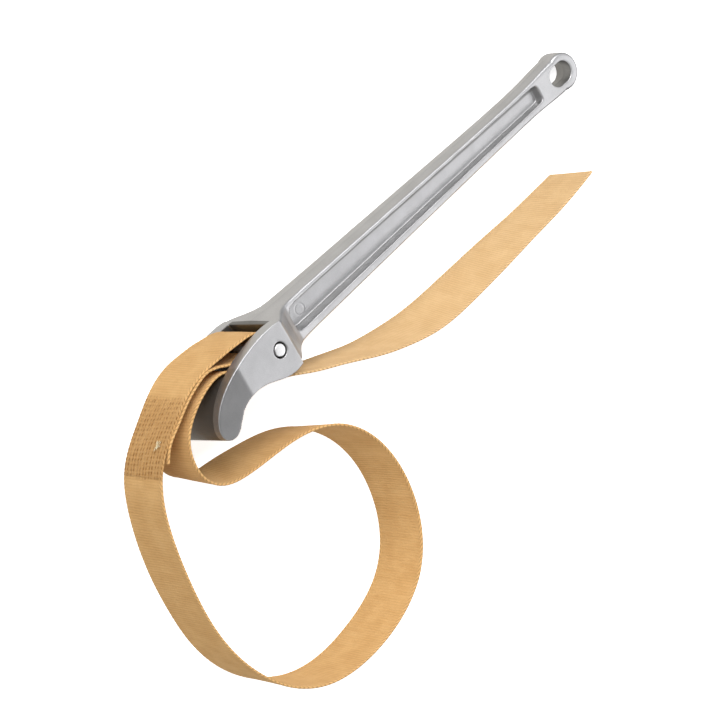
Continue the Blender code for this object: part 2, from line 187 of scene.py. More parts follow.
# Painted shade, from 0 to 1: pin's mouth, pocket foot and walls, hanging hole, window, toe
MOUTH_PAINTED_SHADE = 0.9
FOOT_PAINTED_SHADE = 0.55
WALL_PAINTED_SHADE = 0.5
HOLE_PAINTED_SHADE = 0.5
WINDOW_PAINTED_SHADE = 0.75
TOE_PAINTED_SHADE = 0.3

# Middle line of the strap from its sewn end to its free end: (x, y, z, lean in x, lean in y).
# The lean is how far the upper edge stands from above the lower edge.
ROUTE = [
    # under layer of the sewn lap, and the front of the eye
    (-118.4, -16.0, -3.0, 4.0, -3.2), (-110.6, -5.8, -1.6, 3.8, -2.8),
    (-98.4, 2.9, 0.2, 3.8, -3.0), (-81.9, 13.5, 2.0, 4.4, -3.4), (-68.4, 19.8, 3.2, 5.0, -4.0),
    (-55.8, 22.0, 3.6, 5.0, -3.4), (-50.0, 20.3, 3.4, 4.6, -2.4), (-43.7, 17.2, 3.2, 4.0, -1.0),
    (-36.4, 13.0, 2.8, 3.6, 0.0), (-29.1, 10.3, 2.3, 3.4, 0.0), (-20.8, 8.5, 1.6, 3.4, 0.0),
    (-12.9, 5.8, 1.0, 3.4, 0.0), (-7.9, 1.0, 0.6, 3.4, 0.0), (-5.0, -4.3, 0.4, 3.4, 0.0),
    (0.0, -6.6, 0.0, 3.4, 0.0), (5.0, -4.3, -0.4, 3.4, 0.0), (6.7, 1.4, -0.5, 3.4, 0.0),
    # back of the eye, crest over the window and outer layer of the lap
    (5.2, 8.4, -0.4, 3.4, 0.0), (0.8, 15.0, -0.1, 3.4, -0.6), (-7.3, 20.2, 0.5, 3.8, -1.6),
    (-18.8, 22.6, 1.4, 4.4, -3.0), (-30.2, 24.0, 2.2, 5.0, -4.2), (-43.6, 24.7, 3.0, 5.4, -4.8),
    (-57.0, 24.5, 3.2, 5.4, -4.8), (-69.0, 22.0, 2.6, 5.0, -4.0), (-82.9, 15.7, 1.4, 4.4, -3.4),
    (-99.4, 4.9, -0.6, 3.8, -3.0), (-115.9, -7.5, -2.9, 3.8, -2.8),
    (-129.3, -23.4, -5.4, 3.4, -4.0),
    # loop
    (-137.9, -42.3, -7.5, 3.2, -5.0), (-143.6, -62.3, -8.9, 3.8, -5.4),
    (-149.5, -98.4, -11.1, 4.8, -5.6), (-151.5, -134.4, -12.4, 4.2, -6.0),
    (-148.5, -167.4, -13.1, 5.0, -6.0), (-137.4, -198.5, -13.9, 5.2, -6.4),
    (-119.4, -223.0, -14.2, 4.4, -7.6), (-93.4, -240.5, -14.2, 5.0, -8.8),
    (-61.4, -247.0, -14.2, 6.0, -9.0), (-30.4, -244.5, -14.2, 6.9, -9.4),
    (-3.4, -237.0, -14.2, 7.1, -8.2), (20.6, -223.0, -14.2, 7.0, -6.8),
    (38.6, -200.5, -14.2, 7.0, -6.2), (48.6, -172.5, -14.2, 8.0, -6.2),
    (50.4, -142.5, -14.1, 9.4, -5.4), (43.6, -115.5, -13.9, 10.8, -3.6),
    (26.5, -91.4, -13.0, 10.0, -1.4), (-1.5, -74.9, -12.1, 7.2, -3.4),
    (-33.6, -67.6, -10.4, 6.2, -7.6), (-63.7, -63.3, -8.3, 5.4, -10.6),
    (-85.7, -57.2, -6.3, 4.0, -8.4),
    (-99.0, -42.6, -3.8, 5.0, -6.6), (-101.0, -26.2, -1.6, 5.2, -4.4),
    (-95.0, -9.4, 0.6, 5.0, -3.0),
    (-81.0, 3.2, 2.4, 4.4, -2.0), (-68.9, 9.5, 3.6, 4.0, -1.2),
    # over the lip of the toe, between the toe and the eye, and out below
    (-57.0, 12.6, 4.2, 3.6, 0.0), (-48.6, 12.8, 3.7, 3.4, 0.0), (-41.7, 10.4, 3.2, 3.4, 0.0),
    (-36.0, 5.4, 2.8, 3.4, 0.0), (-30.6, -1.4, 2.4, 3.4, 0.0), (-24.8, -8.8, 1.9, 3.4, 0.0),
    (-17.5, -15.0, 1.4, 3.4, 0.0), (-8.9, -20.3, 0.7, 3.4, 0.0), (1.0, -24.8, -0.1, 3.4, 0.0),
    # tail
    (14.0, -31.2, -1.0, 3.4, -0.8), (28.0, -38.2, -1.8, 3.6, -1.8), (47.0, -46.0, -2.6, 4.0, -3.4),
    (67.0, -54.4, -3.6, 4.0, -5.8), (88.2, -63.0, -5.3, 4.0, -8.4),
    (112.3, -70.0, -7.0, 4.0, -11.8),
    (140.4, -75.7, -9.1, 4.0, -14.6), (166.4, -77.2, -10.4, 4.0, -14.8),
    (190.5, -76.7, -11.4, 4.0, -14.0), (214.5, -75.8, -12.2, 4.0, -12.8),
    (238.5, -74.8, -13.2, 4.0, -10.8), (262.6, -74.0, -14.0, 4.4, -8.4),
    (286.6, -72.7, -14.1, 5.6, -6.8), (309.6, -70.5, -14.1, 7.4, -4.8),
    (327.6, -68.3, -14.1, 9.0, -2.2),
]

# Rows of ROUTE where one stretch of webbing ends and the next begins
LOOP_FROM = 29.5
HEAD_JOIN = 58
STITCH_FROM = 25
STITCH_TO = 28


# Camera, floor and light

def add_object(name, data):
    made = bpy.data.objects.new(name, data)
    bpy.context.scene.collection.objects.link(made)
    return made


def make_camera():
    back = Vector((
        math.cos(VIEW_ELEVATION) * math.cos(VIEW_AZIMUTH),
        math.cos(VIEW_ELEVATION) * math.sin(VIEW_AZIMUTH),
        math.sin(VIEW_ELEVATION),
    ))
    level = Vector((0, 0, 1)).cross(back).normalized()
    upright = back.cross(level)
    right = level * math.cos(VIEW_ROLL) + upright * math.sin(VIEW_ROLL)
    up = back.cross(right)
    data = bpy.data.cameras.new("camera")
    data.lens = VIEW_LENS
    data.clip_end = 20.0
    camera = add_object("camera", data)
    aim = PIN + right * AIM_RIGHT + up * AIM_UP
    turn = Matrix((right, up, back)).transposed().to_4x4()
    camera.matrix_world = Matrix.Translation(aim + back * VIEW_DISTANCE) @ turn
    bpy.context.scene.camera = camera


def area_light(name, place, size, energy, colour=(1, 1, 1)):
    data = bpy.data.lights.new(name, "AREA")
    data.shape = "DISK"
    data.size = size
    data.energy = energy
    data.color = colour
    light = add_object(name, data)
    light.location = place
    light.rotation_euler = (PIN - Vector(place)).to_track_quat("-Z", "Y").to_euler()
    return light


def make_studio():
    bpy.context.scene.view_settings.view_transform = "Standard"
    work = bmesh.new()
    bmesh.ops.create_grid(work, x_segments=1, y_segments=1, size=6.0)
    mesh = bpy.data.meshes.new("floor")
    work.to_mesh(mesh)
    work.free()
    floor = add_object("floor", mesh)
    mesh.materials.append(floor_material())
    floor.visible_diffuse = False
    floor.visible_glossy = False

    make_sky()
    area_light("key_light", (0.25, 2.2, 2.0), 2.6, 92.0)
    area_light("rim_light", (1.95, -1.2, 1.6), 1.7, 9.0)
    fill = area_light("fill_light", (-2.6, 0.3, 0.9), 2.0, 22.0)
    fill.visible_glossy = False


def make_sky():
    """Pale walls all round, a dim ceiling, and the light that comes back up from a pale table."""
    world = bpy.data.worlds.new("studio")
    world.use_nodes = True
    bpy.context.scene.world = world
    nodes = world.node_tree.nodes
    links = world.node_tree.links
    direction = nodes.new("ShaderNodeTexCoord")
    split = nodes.new("ShaderNodeSeparateXYZ")
    height = nodes.new("ShaderNodeMapRange")
    height.inputs["From Min"].default_value = -1.0
    ramp = nodes.new("ShaderNodeValToRGB")
    stops = [
        (0.25, TABLE), (0.33, HORIZON), (0.6, HORIZON), (0.7, WALLS), (0.88, WALLS),
        (0.92, CEILING),
    ]
    elements = ramp.color_ramp.elements
    while len(elements) < len(stops):
        elements.new(0.5)
    for element, (place, colour) in zip(elements, stops):
        element.position = place
        element.color = (*colour, 1.0)
    links.new(direction.outputs["Generated"], split.inputs["Vector"])
    links.new(split.outputs["Z"], height.inputs["Value"])
    links.new(height.outputs["Result"], ramp.inputs["Fac"])
    towards = nodes.new("ShaderNodeVectorMath")
    towards.operation = "DOT_PRODUCT"
    towards.inputs[1].default_value = Vector(FLAG_TOWARDS).normalized()
    open_sky = nodes.new("ShaderNodeMapRange")
    open_sky.inputs["From Min"].default_value = FLAG_EDGE[1]
    open_sky.inputs["From Max"].default_value = FLAG_EDGE[0]
    open_sky.inputs["To Min"].default_value = FLAG_LIGHT
    links.new(direction.outputs["Generated"], towards.inputs[0])
    links.new(towards.outputs["Value"], open_sky.inputs["Value"])
    links.new(open_sky.outputs["Result"], nodes["Background"].inputs["Strength"])
    links.new(ramp.outputs["Color"], nodes["Background"].inputs["Color"])


# Materials

def new_material(name, colour, roughness, metallic=0.0):
    material = bpy.data.materials.new(name)
    material.use_nodes = True
    shader = material.node_tree.nodes["Principled BSDF"]
    shader.inputs["Base Color"].default_value = (*colour, 1.0)
    shader.inputs["Roughness"].default_value = roughness
    shader.inputs["Metallic"].default_value = metallic
    return material


class Nodes:
    """Short ways to add shader nodes to one material."""

    def __init__(self, material):
        self.tree = material.node_tree
        self.shader = self.tree.nodes["Principled BSDF"]

    def add(self, kind, **values):
        node = self.tree.nodes.new(kind)
        for name, value in values.items():
            if hasattr(node, name):
                setattr(node, name, value)
            else:
                node.inputs[name.replace("_", " ")].default_value = value
        return node

    def link(self, source, target):
        self.tree.links.new(source, target)

    def position(self):
        return self.add("ShaderNodeTexCoord").outputs["Object"]

    def noise(self, scale, detail=3.0, source=None):
        node = self.add("ShaderNodeTexNoise", Scale=scale, Detail=detail)
        self.link(source or self.position(), node.inputs["Vector"])
        return node.outputs["Fac"]

    def ramp(self, source, stops):
        node = self.add("ShaderNodeValToRGB")
        elements = node.color_ramp.elements
        while len(elements) < len(stops):
            elements.new(0.5)
        for element, (place, colour) in zip(elements, stops):
            element.position = place
            element.color = (*colour, 1.0) if len(colour) == 3 else colour
        self.link(source, node.inputs["Fac"])
        return node.outputs["Color"]

    def remap(self, source, low, high, from_low=0.0, from_high=1.0):
        node = self.add("ShaderNodeMapRange")
        node.inputs["From Min"].default_value = from_low
        node.inputs["From Max"].default_value = from_high
        node.inputs["To Min"].default_value = low
        node.inputs["To Max"].default_value = high
        self.link(source, node.inputs["Value"])
        return node.outputs["Result"]

    def math(self, operation, a, b):
        node = self.add("ShaderNodeMath", operation=operation)
        for socket, value in zip(node.inputs, (a, b)):
            if isinstance(value, (int, float)):
                socket.default_value = value
            else:
                self.link(value, socket)
        return node.outputs["Value"]

    def wave(self, source):
        return self.math("SINE", source, 0.0)

    def stretched(self, source, scale):
        node = self.add("ShaderNodeMapping")
        node.inputs["Scale"].default_value = scale
        self.link(source, node.inputs["Vector"])
        return node.outputs["Vector"]

    def mix(self, factor, a, b, blend_type="MIX"):
        node = self.add("ShaderNodeMix", data_type="RGBA", blend_type=blend_type)
        for socket, value in ((node.inputs[0], factor), (node.inputs[6], a), (node.inputs[7], b)):
            if isinstance(value, tuple):
                socket.default_value = (*value, 1.0)
            elif isinstance(value, (int, float)):
                socket.default_value = value
            else:
                self.link(value, socket)
        return node.outputs[2]

    def bump(self, height, distance, strength=1.0, normal=None):
        node = self.add("ShaderNodeBump", Distance=distance, Strength=strength)
        self.link(height, node.inputs["Height"])
        if normal is not None:
            self.link(normal, node.inputs["Normal"])
        return node.outputs["Normal"]


def floor_material():
    material = new_material("floor_white", (0.93, 0.93, 0.93), 0.9)
    shader = material.node_tree.nodes["Principled BSDF"]
    shader.inputs["Specular IOR Level"].default_value = 0.1
    shader.inputs["Emission Color"].default_value = (1, 1, 1, 1)
    shader.inputs["Emission Strength"].default_value = 0.75
    return material


def aluminium_material():
    """Blasted cast aluminium: fine grain, faint clouds, edges rubbed brighter, painted shade in
    creases, and the painted shade stored on the casting.
    """
    material = new_material("cast_aluminium", (0.6, 0.6, 0.61), 0.4, 0.9)
    n = Nodes(material)
    grain = n.noise(2600.0, 2.0)
    clouds = n.noise(55.0, 4.0)
    base = n.ramp(clouds, [(0.3, (0.54, 0.54, 0.55)), (0.7, (0.6, 0.6, 0.612))])
    speckle = n.ramp(grain, [(0.3, (0.9, 0.9, 0.9)), (0.7, (1.06, 1.06, 1.06))])
    base = n.mix(1.0, base, speckle, "MULTIPLY")
    point = n.add("ShaderNodeNewGeometry").outputs["Pointiness"]
    worn = n.remap(point, 0.0, 1.0, 0.53, 0.6)
    base = n.mix(worn, base, (0.74, 0.74, 0.745))
    # painted shade in creases and hollow corners
    crease_shade = n.remap(point, 0.55, 0.0, 0.42, 0.49)
    base = n.mix(crease_shade, base, (0.36, 0.36, 0.355))
    # painted shade stored on the casting darkens the metal's colour
    painted_shade = n.add("ShaderNodeAttribute", attribute_name="painted_shade").outputs["Fac"]
    base = n.mix(painted_shade, base, (0.07, 0.065, 0.055))
    n.link(base, n.shader.inputs["Base Color"])
    n.link(n.remap(n.noise(420.0, 3.0), 0.36, 0.46), n.shader.inputs["Roughness"])
    pits = n.bump(n.noise(1500.0, 3.0), 0.00012, 0.5)
    n.link(n.bump(n.noise(120.0, 3.0), 0.0006, 0.25, pits), n.shader.inputs["Normal"])
    return material


def steel_material():
    """A ground pin end, with a fine mottled grain."""
    material = new_material("pin_steel", (0.82, 0.82, 0.83), 0.3, 0.9)
    n = Nodes(material)
    fine = n.noise(900.0, 2.0)
    n.link(n.ramp(fine, [(0.2, (0.78, 0.78, 0.79)), (0.8, (0.9, 0.9, 0.9))]),
           n.shader.inputs["Base Color"])
    n.link(n.remap(fine, 0.24, 0.38), n.shader.inputs["Roughness"])
    n.link(n.bump(n.noise(3000.0, 2.0), 0.00004, 0.4), n.shader.inputs["Normal"])
    return material


def webbing_material(name, light, dark):
    """Woven webbing.

    The UV map holds the distance along the strap and across it, in millimetres. The attribute
    "sewn" is how much the stitching darkens the webbing.
    """
    material = new_material(name, light, 0.85)
    n = Nodes(material)
    place = n.add("ShaderNodeUVMap", uv_map="weave").outputs["UV"]
    split = n.add("ShaderNodeSeparateXYZ")
    n.link(place, split.inputs["Vector"])
    along, across = split.outputs["X"], split.outputs["Y"]

    # each rib is a cord across the strap, wrapped by fine lengthwise yarns
    rib = n.remap(n.math("PINGPONG", along, RIB_PITCH / 2), 0.0, 1.0, 0.0, RIB_PITCH / 2)
    yarn = n.wave(n.math("MULTIPLY", across, 2 * math.pi / 0.62))
    stagger = n.wave(n.math("MULTIPLY", along, math.pi / RIB_PITCH))
    weave = n.remap(n.math("MULTIPLY", yarn, stagger), 0.0, 1.0, -1.0, 1.0)

    streaks = n.noise(1.0, 3.0, n.stretched(place, (0.22, 1.3, 1.0)))
    bars = n.noise(1.0, 2.0, n.stretched(place, (0.45, 0.05, 1.0)))
    clouds = n.noise(0.06, 3.0, place)
    fibre = n.noise(3.0, 3.0, place)

    middle = tuple(0.5 * (a + b) for a, b in zip(light, dark))
    deep = tuple(0.55 * a for a in dark)
    colour = n.mix(n.remap(clouds, 0.0, 1.0, 0.35, 0.65), light, middle)
    colour = n.mix(n.remap(bars, 0.0, 0.4, 0.48, 0.7), colour, dark)
    colour = n.mix(n.remap(streaks, 0.0, 0.45, 0.45, 0.75), colour, dark)
    colour = n.mix(n.remap(fibre, 0.0, 0.4, 0.45, 0.8), colour, tuple(1.15 * a for a in light))
    # the grooves between ribs get painted shade
    groove = n.remap(rib, 0.36, 0.0, 0.0, 0.45)
    groove_shade = n.math("MULTIPLY", groove, n.remap(clouds, 0.4, 1.1, 0.3, 0.7))
    colour = n.mix(groove_shade, colour, deep)

    # slanting stitches hold the edges
    to_edge = n.math("SUBTRACT", STRAP_WIDTH / 2, n.math("ABSOLUTE", across, 0.0))
    slant = n.math("ADD", n.math("MULTIPLY", along, 1 / SELVEDGE_PITCH),
                   n.math("MULTIPLY", to_edge, 1 / SELVEDGE_SLANT))
    dash = n.remap(n.math("PINGPONG", slant, 0.5), 0.75, 0.0, 0.04, 0.28)
    on_edge = n.remap(to_edge, 0.9, 0.0, SELVEDGE_WIDTH - 0.6, SELVEDGE_WIDTH)
    colour = n.mix(n.math("MULTIPLY", on_edge, 0.5), colour, tuple(1.18 * a for a in light))
    colour = n.mix(n.math("MULTIPLY", dash, on_edge), colour, deep)

    sewn = n.add("ShaderNodeAttribute", attribute_name="sewn").outputs["Fac"]
    colour = n.mix(sewn, colour, (0.22, 0.09, 0.018))
    n.link(colour, n.shader.inputs["Base Color"])
    n.link(n.remap(fibre, 0.78, 0.95), n.shader.inputs["Roughness"])
    n.shader.inputs["Specular IOR Level"].default_value = 0.2
    n.shader.inputs["Sheen Weight"].default_value = 0.06
    n.shader.inputs["Sheen Roughness"].default_value = 0.5
    height = n.math("ADD", n.math("MULTIPLY", weave, 0.6), n.math("MULTIPLY", fibre, 0.6))
    n.link(n.bump(height, 0.0003, 0.8), n.shader.inputs["Normal"])
    return material


def thread_material(name, colour):
    material = new_material(name, colour, 0.8)
    n = Nodes(material)
    twist = n.noise(2500.0, 2.0)
    shade = n.ramp(twist, [(0.3, tuple(0.72 * c for c in colour)), (0.7, colour)])
    n.link(shade, n.shader.inputs["Base Color"])
    n.link(n.bump(twist, 0.0001, 0.7), n.shader.inputs["Normal"])
    return material


# Mesh helpers

def mesh_from(name, work):
    bmesh.ops.recalc_face_normals(work, faces=work.faces)
    mesh = bpy.data.meshes.new(name)
    work.to_mesh(mesh)
    work.free()
    return mesh


def loft(name, rings):
    """A closed solid through rings of points, with flat ends."""
    count = len(rings[0])
    points = np.concatenate([np.asarray(ring, float) for ring in rings]) * MM
    faces = []
    for r in range(len(rings) - 1):
        a = r * count
        for i in range(count):
            j = (i + 1) % count
            faces.append((a + i, a + j, a + count + j, a + count + i))
    faces.append(tuple(range(count))[::-1])
    faces.append(tuple(range(len(points) - count, len(points))))
    mesh = bpy.data.meshes.new(name)
    mesh.from_pydata(points.tolist(), [], faces)
    work = bmesh.new()
    work.from_mesh(mesh)
    bpy.data.meshes.remove(mesh)
    return mesh_from(name, work)


def outline_solid(name, outline, half_width, resolution=10):
    """The solid of a smooth flat outline, as thick as two half widths, along Z."""
    data = bpy.data.curves.new(name, "CURVE")
    data.dimensions = "2D"
    data.fill_mode = "BOTH"
    data.extrude = half_width * MM
    data.resolution_u = resolution
    spline = data.splines.new("BEZIER")
    spline.bezier_points.add(len(outline) - 1)
    spline.use_cyclic_u = True
    for point, (x, y, corner) in zip(spline.bezier_points, outline):
        point.co = (x * MM, y * MM, 0.0)
        point.handle_left_type = "VECTOR" if corner else "AUTO"
        point.handle_right_type = point.handle_left_type
    flat = add_object(name + "_curve", data)
    graph = bpy.context.evaluated_depsgraph_get()
    mesh = bpy.data.meshes.new_from_object(flat.evaluated_get(graph))
    bpy.data.objects.remove(flat)
    work = bmesh.new()
    work.from_mesh(mesh)
    bmesh.ops.remove_doubles(work, verts=work.verts, dist=0.00001)
    return mesh_from(name, work)


def cylinder_mesh(name, radius, half_length, sides):
    work = bmesh.new()
    bmesh.ops.create_cone(
        work, cap_ends=True, segments=sides, radius1=radius * MM, radius2=radius * MM,
        depth=2 * half_length * MM,
    )
    return mesh_from(name, work)


def bevel(obj, width, segments=4):
    modifier = obj.modifiers.new("rounded_edges", "BEVEL")
    modifier.width = width * MM
    modifier.segments = segments
    modifier.limit_method = "ANGLE"
    modifier.angle_limit = math.radians(40)


def boolean(obj, other, operation):
    modifier = obj.modifiers.new(operation.lower(), "BOOLEAN")
    modifier.operation = operation
    modifier.object = other


def bake_modifiers(obj):
    """Replaces an object's mesh by what its modifiers make of it."""
    bpy.context.view_layer.update()
    graph = bpy.context.evaluated_depsgraph_get()
    mesh = bpy.data.meshes.new_from_object(obj.evaluated_get(graph))
    obj.modifiers.clear()
    obj.data = mesh
    return mesh


def vertex_array(mesh, field="co"):
    values = np.empty(len(mesh.vertices) * 3, np.float32)
    if field == "co":
        mesh.vertices.foreach_get("co", values)
    else:
        mesh.vertex_normals.foreach_get("vector", values)
    return values.reshape(-1, 3).astype(float)


def set_vertices(mesh, points):
    mesh.vertices.foreach_set("co", points.astype(np.float32).ravel())
    mesh.update()


# Casting

def section_ring(x, top, bottom, half_thickness, radius, steps=8):
    corners = [
        (top - radius, half_thickness - radius, 0.0),
        (-bottom + radius, half_thickness - radius, 90.0),
        (-bottom + radius, -half_thickness + radius, 180.0),
        (top - radius, -half_thickness + radius, 270.0),
    ]
    seams = {90.0: -bottom - SIDE_DRAFT, 270.0: top + SIDE_DRAFT}
    ring = []
    for y, z, start in corners:
        for step in range(steps):
            angle = math.radians(start + 90.0 * step / (steps - 1))
            ring.append((x, y + radius * math.cos(angle), z + radius * math.sin(angle)))
        if start in seams:
            ring.append((x, seams[start], 0.0))
    return ring


def pocket_mesh(side):
    """The cutter of one side pocket, with walls that lean out to POCKET_OUTLINE at the rim."""
    middle_y = sum(y for x, y in POCKET_OUTLINE) / len(POCKET_OUTLINE)
    middle_x = max(x for x, y in POCKET_OUTLINE) / 2
    rings = []
    for z in (WEB_HALF_THICKNESS, HEAD_HALF_WIDTH / 2):
        inward = (POCKET_RIM - z) / (POCKET_RIM - WEB_HALF_THICKNESS)
        ring = []
        for x, y in POCKET_OUTLINE:
            inward_x = POCKET_DRAFT if x < middle_x else -POCKET_END_DRAFT
            inward_y = POCKET_DRAFT if y < middle_y else -POCKET_DRAFT
            ring.append((x + inward_x * inward, y + inward_y * inward, side * z))
        rings.append(ring)
    return loft("pocket", rings)


def hole_ring(radius, z, steps=64):
    x, y = HOLE_CENTRE
    straight = HOLE_HALF_LENGTH - radius
    ring = []
    for step in range(steps):
        angle = 2 * math.pi * (step + 0.5) / steps
        shift = straight if math.cos(angle) > 0 else -straight
        ring.append((x + shift + radius * math.cos(angle), y + radius * math.sin(angle), z))
    return ring


def hang_hole_mesh():
    depth = 2 * END_HALF_THICKNESS
    mouth = HOLE_RADIUS + HOLE_DRAFT
    levels = [(-depth, mouth), (0.0, HOLE_RADIUS), (depth, mouth)]
    return loft("hang_hole", [hole_ring(radius, z) for z, radius in levels])


def pin_hole_mesh():
    beyond = HEAD_HALF_WIDTH + 2.0
    mouth_from = HEAD_HALF_WIDTH - PIN_MOUTH_DEPTH
    inner = mouth_from - 0.5
    levels = [
        (-beyond, PIN_MOUTH), (-mouth_from, PIN_MOUTH), (-inner, PIN_BORE), (inner, PIN_BORE),
        (mouth_from, PIN_MOUTH), (beyond, PIN_MOUTH),
    ]
    turn = [2 * math.pi * step / 64 for step in range(64)]
    return loft("pin_hole", [[(r * math.cos(a), r * math.sin(a), z) for a in turn]
                             for z, r in levels])


def toe_taper_mesh(side):
    """A wedge outside the toe, whose sloping face narrows the toe towards its tip."""
    start = TOE_FROM + TOE_WEDGE_BEFORE
    tip = TOE_FROM - TOE_WEDGE_BEYOND
    outside = side * (HEAD_HALF_WIDTH + TOE_WEDGE_BEFORE * TOE_TAPER)
    inside = side * (HEAD_HALF_WIDTH - TOE_WEDGE_BEYOND * TOE_TAPER)
    rings = []
    for y in (-HEAD_HALF_WIDTH, HEAD_HALF_WIDTH):
        rings.append([(start, y, outside), (tip, y, outside), (tip, y, inside)])
    return loft("toe_taper", rings)


def smooth_vertices(mesh, times, strength=0.5):
    """Moves each point towards the middle of its neighbours, a few times."""
    points = vertex_array(mesh)
    edges = np.empty(len(mesh.edges) * 2, np.int32)
    mesh.edges.foreach_get("vertices", edges)
    edges = edges.reshape(-1, 2)
    count = np.bincount(edges.ravel(), minlength=len(points))[:, None]
    for _ in range(times):
        total = np.zeros_like(points)
        for axis in range(3):
            total[:, axis] += np.bincount(edges[:, 0], points[edges[:, 1], axis], len(points))
            total[:, axis] += np.bincount(edges[:, 1], points[edges[:, 0], axis], len(points))
        points += strength * (total / count - points)
    set_vertices(mesh, points)


def add_cast_marks(mesh):
    """A seam where the halves of the mould met, and the round mark of an ejector pin."""
    points = vertex_array(mesh) / MM
    normals = vertex_array(mesh, "normal")
    along, across, side = points.T
    outer = (np.abs(normals[:, 2]) < 0.5) & (along > SEAM_FROM)
    seam = SEAM_HEIGHT * np.exp(-((side / SEAM_WIDTH) ** 2)) * outer
    ring = np.hypot(along - EJECTOR_CENTRE[0], across - EJECTOR_CENTRE[1])
    on_web = (np.abs(side) < WEB_HALF_THICKNESS + 1.0) & (np.abs(normals[:, 2]) > 0.8)
    line = np.exp(-(((ring - EJECTOR_RADIUS) / EJECTOR_LINE) ** 2))
    mark = -EJECTOR_DEPTH * line * on_web
    set_vertices(mesh, (points + normals * (seam + mark)[:, None]) * MM)

    # painted shade for the pockets, holes, window, toe and pin's mouth
    shade_hollows(mesh, along, across, side, normals)


def shade_hollows(mesh, along, across, side, normals):
    """Stores painted shade for each point: pockets, both holes, the window, the toe, the pin's
    mouth.
    """
    from_pin = np.hypot(along, across)
    upright = 1 - np.abs(normals[:, 2])
    near_face = np.abs(side) > HEAD_HALF_WIDTH - 3.5
    # painted shadow in the groove round the pin
    mouth = MOUTH_PAINTED_SHADE * np.clip((PIN_MOUTH + 0.25 - from_pin) / 0.4, 0, 1) * near_face

    upper = np.interp(along, [x for x, y in POCKET_TOP], [y for x, y in POCKET_TOP])
    lower = np.interp(along, [x for x, y in POCKET_BOTTOM], [y for x, y in POCKET_BOTTOM])
    in_pocket = (across < upper + 0.5) & (across > lower - 0.5)
    in_pocket = in_pocket & (along > POCKET_START - 1.5) & (along < POCKET_END + 1)
    depth = np.abs(side)
    below_rim = in_pocket & (depth < 20) & (depth > WEB_HALF_THICKNESS - 0.5)
    # painted shade on the pocket walls, and a painted shadow along the foot of the upper wall
    wall = WALL_PAINTED_SHADE * below_rim * np.clip(upright / 0.5, 0, 1)
    foot = FOOT_PAINTED_SHADE * below_rim * (depth < 5.0)
    foot = foot * np.clip((across - upper + 4.5) / 0.7, 0, 1)

    # painted shade inside the hanging hole
    beyond = np.abs(along - HOLE_CENTRE[0]) < HOLE_HALF_LENGTH + 1.8
    hole = HOLE_PAINTED_SHADE * beyond * (np.abs(across - HOLE_CENTRE[1]) < HOLE_RADIUS + 1.2)
    hole = hole * np.clip(upright / 0.4 - 0.5, 0, 1)

    # painted shade inside the window
    inside = np.abs(side) < WINDOW_HALF_WIDTH + 0.3
    window = WINDOW_PAINTED_SHADE * inside * (along < 11.5)
    # painted shade over the toe, which turns away from the light
    toe = TOE_PAINTED_SHADE * np.clip((TOE_FROM - along) / 2.0, 0, 1)
    painted_shade = np.max([mouth, wall, foot, hole, window, toe], axis=0)
    shade = mesh.attributes.new("painted_shade", "FLOAT", "POINT")
    shade.data.foreach_set("value", painted_shade.astype(np.float32))


def make_casting():
    rings = [section_ring(*section) for section in HANDLE_SECTIONS]
    casting = add_object("casting", loft("casting", rings))
    head = add_object("head", outline_solid("head", HEAD_OUTLINE, HEAD_HALF_WIDTH))
    wedges = [add_object("toe_wedge", toe_taper_mesh(side)) for side in (1, -1)]
    for wedge in wedges:
        boolean(head, wedge, "DIFFERENCE")
    bevel(head, HEAD_EDGE)
    end = add_object("end", cylinder_mesh("end", END_RADIUS, END_HALF_THICKNESS, 128))
    end.location = (HANDLE_TO * MM, 0.0, 0.0)
    bevel(end, END_EDGE)
    helpers = [(head, "UNION"), (end, "UNION")]
    cuts = [
        outline_solid("window", WINDOW_OUTLINE, WINDOW_HALF_WIDTH), pin_hole_mesh(),
        pocket_mesh(1), pocket_mesh(-1), hang_hole_mesh(),
    ]
    helpers += [(add_object(mesh.name, mesh), "DIFFERENCE") for mesh in cuts]
    for helper, operation in helpers:
        boolean(casting, helper, operation)
    remesh = casting.modifiers.new("cast_surface", "REMESH")
    remesh.mode = "VOXEL"
    remesh.voxel_size = CAST_VOXEL * MM
    mesh = bake_modifiers(casting)
    for helper in wedges + [helper for helper, operation in helpers]:
        bpy.data.objects.remove(helper)
    smooth_vertices(mesh, 5)
    add_cast_marks(mesh)
    mesh.shade_smooth()
    mesh.transform(WRENCH)
    mesh.materials.clear()
    mesh.materials.append(aluminium_material())
    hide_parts("handle_casting")
    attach(casting, "handle")


def make_pin():
    """The pin, with a flat centre and a curved chamfer at each end."""
    half = HEAD_HALF_WIDTH - 0.15
    profile = [
        (0.0, half), (3.2, half), (4.45, half - 0.05), (4.75, half - 0.25),
        (PIN_RADIUS, half - 1.3),
    ]
    profile += [(r, -z) for r, z in profile[::-1]]
    turn = [2 * math.pi * step / 96 for step in range(96)]
    rings = [[(max(r, 0.02) * math.cos(a), max(r, 0.02) * math.sin(a), z) for a in turn]
             for r, z in profile]
    mesh = loft("strap_pin_finished", rings)
    mesh.shade_smooth()
    mesh.set_sharp_from_angle(angle=math.radians(30))
    mesh.transform(WRENCH)
    mesh.materials.append(steel_material())
    pin = add_object("strap_pin_finished", mesh)
    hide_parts("strap_pin")
    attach(pin, "handle")


# Strap

